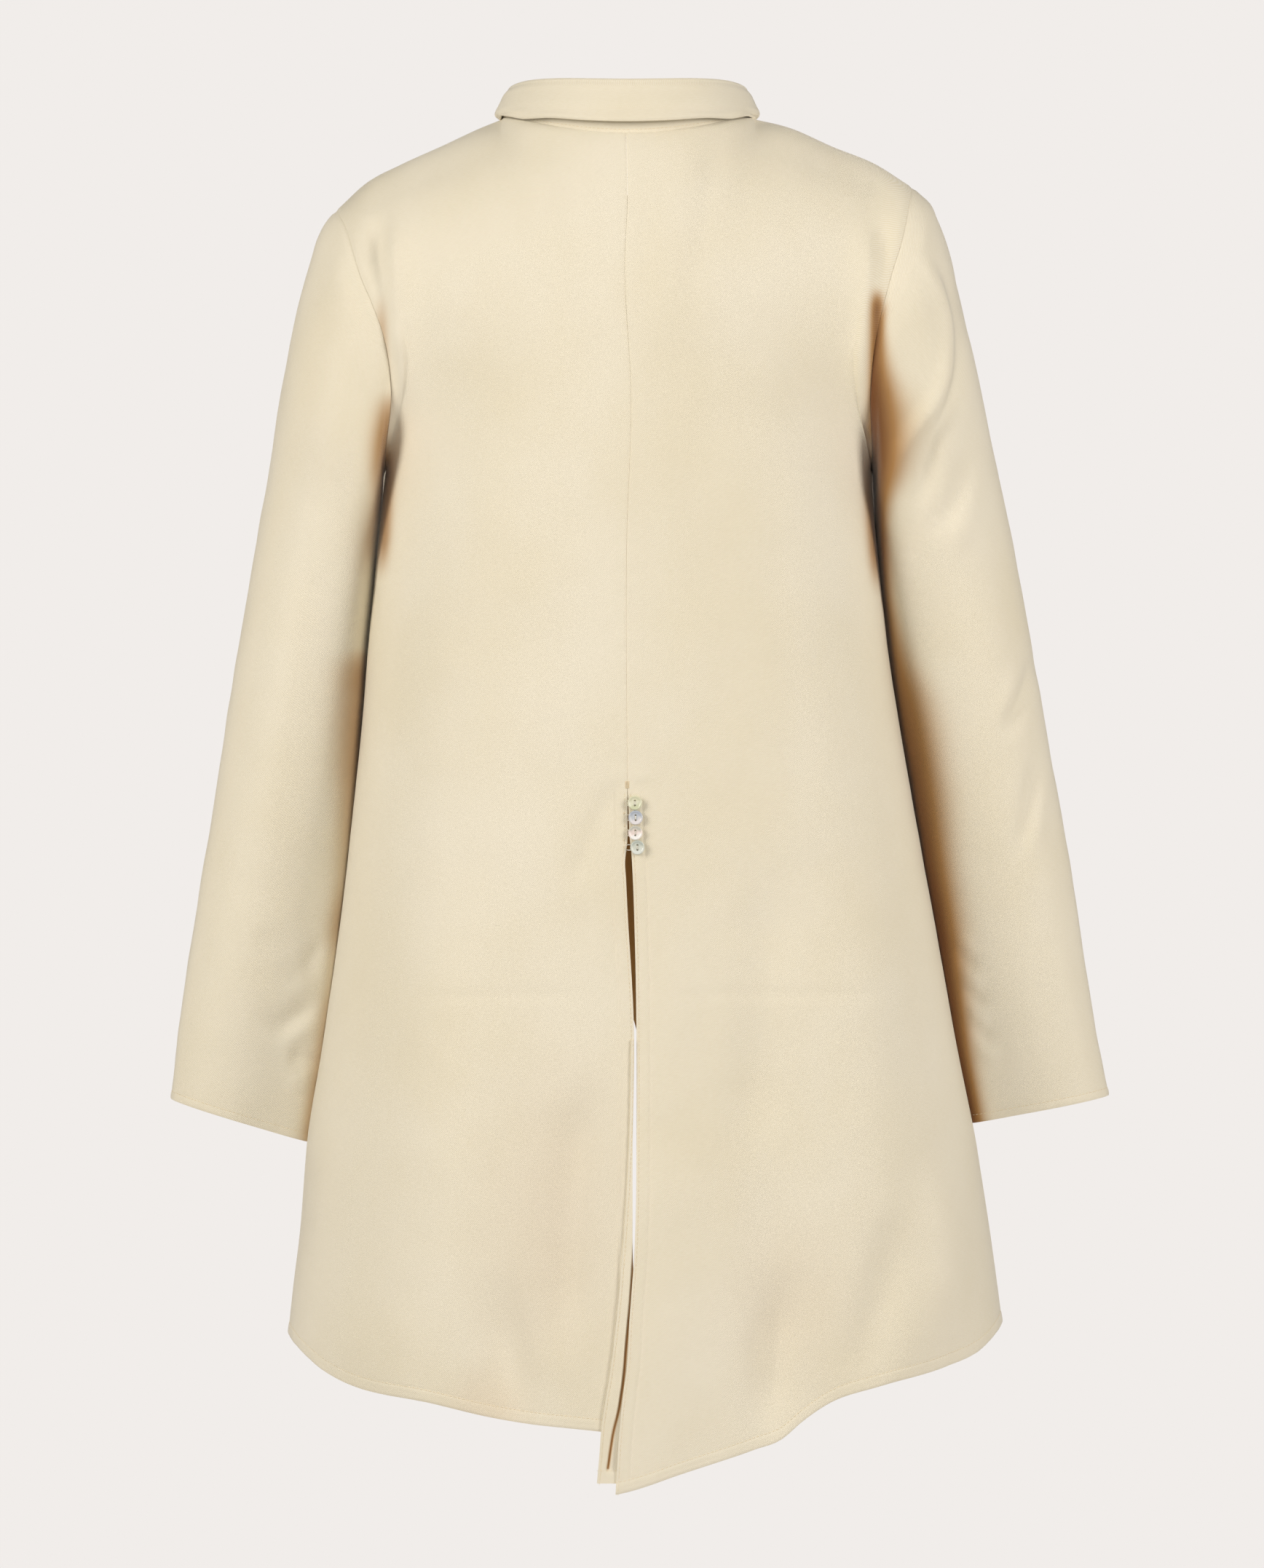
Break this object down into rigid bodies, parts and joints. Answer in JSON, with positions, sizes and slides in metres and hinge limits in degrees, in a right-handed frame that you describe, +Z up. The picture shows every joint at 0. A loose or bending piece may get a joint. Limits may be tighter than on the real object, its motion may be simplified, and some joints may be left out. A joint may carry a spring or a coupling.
{
  "type": "linen shirt",
  "caption": "Long linen shirt in its hollow worn shape: turn-down collar, straight sleeves, centre-back seam with small pearl buttons over an open slit, and a curved hem.",
  "frame": {"origin": "midway between the wearer's shoulders, level with the sides of the neck, where the shirt is carried", "axes": "+Z up, the front faces -Y, +X to the wearer's left"},
  "size_m": [0.65, 0.2662, 0.953],
  "materials": {
    "linen": "cream linen twill with a soft sheen",
    "pearl": "polished mother-of-pearl, iridescent",
    "thread": "white buttonhole thread"
  },
  "bodies": {
    "root": {"back_left": "linen", "back_right": "linen", "back_turned_edge": "linen", "front_left": "linen", "front_right": "linen", "sleeve_left": "linen", "sleeve_right": "linen", "collar_stand": "linen", "collar_fall": "linen", "back_button_1": "pearl", "back_button_2": "pearl", "back_button_3": "pearl", "back_button_4": "pearl", "front_button_1": "pearl", "front_button_2": "pearl", "front_button_3": "pearl", "front_button_4": "pearl", "front_button_5": "pearl", "front_button_6": "pearl", "front_button_7": "pearl", "back_loop_1": "thread", "back_loop_2": "thread", "back_loop_3": "thread", "back_loop_4": "thread"}
  },
  "joints": []
}
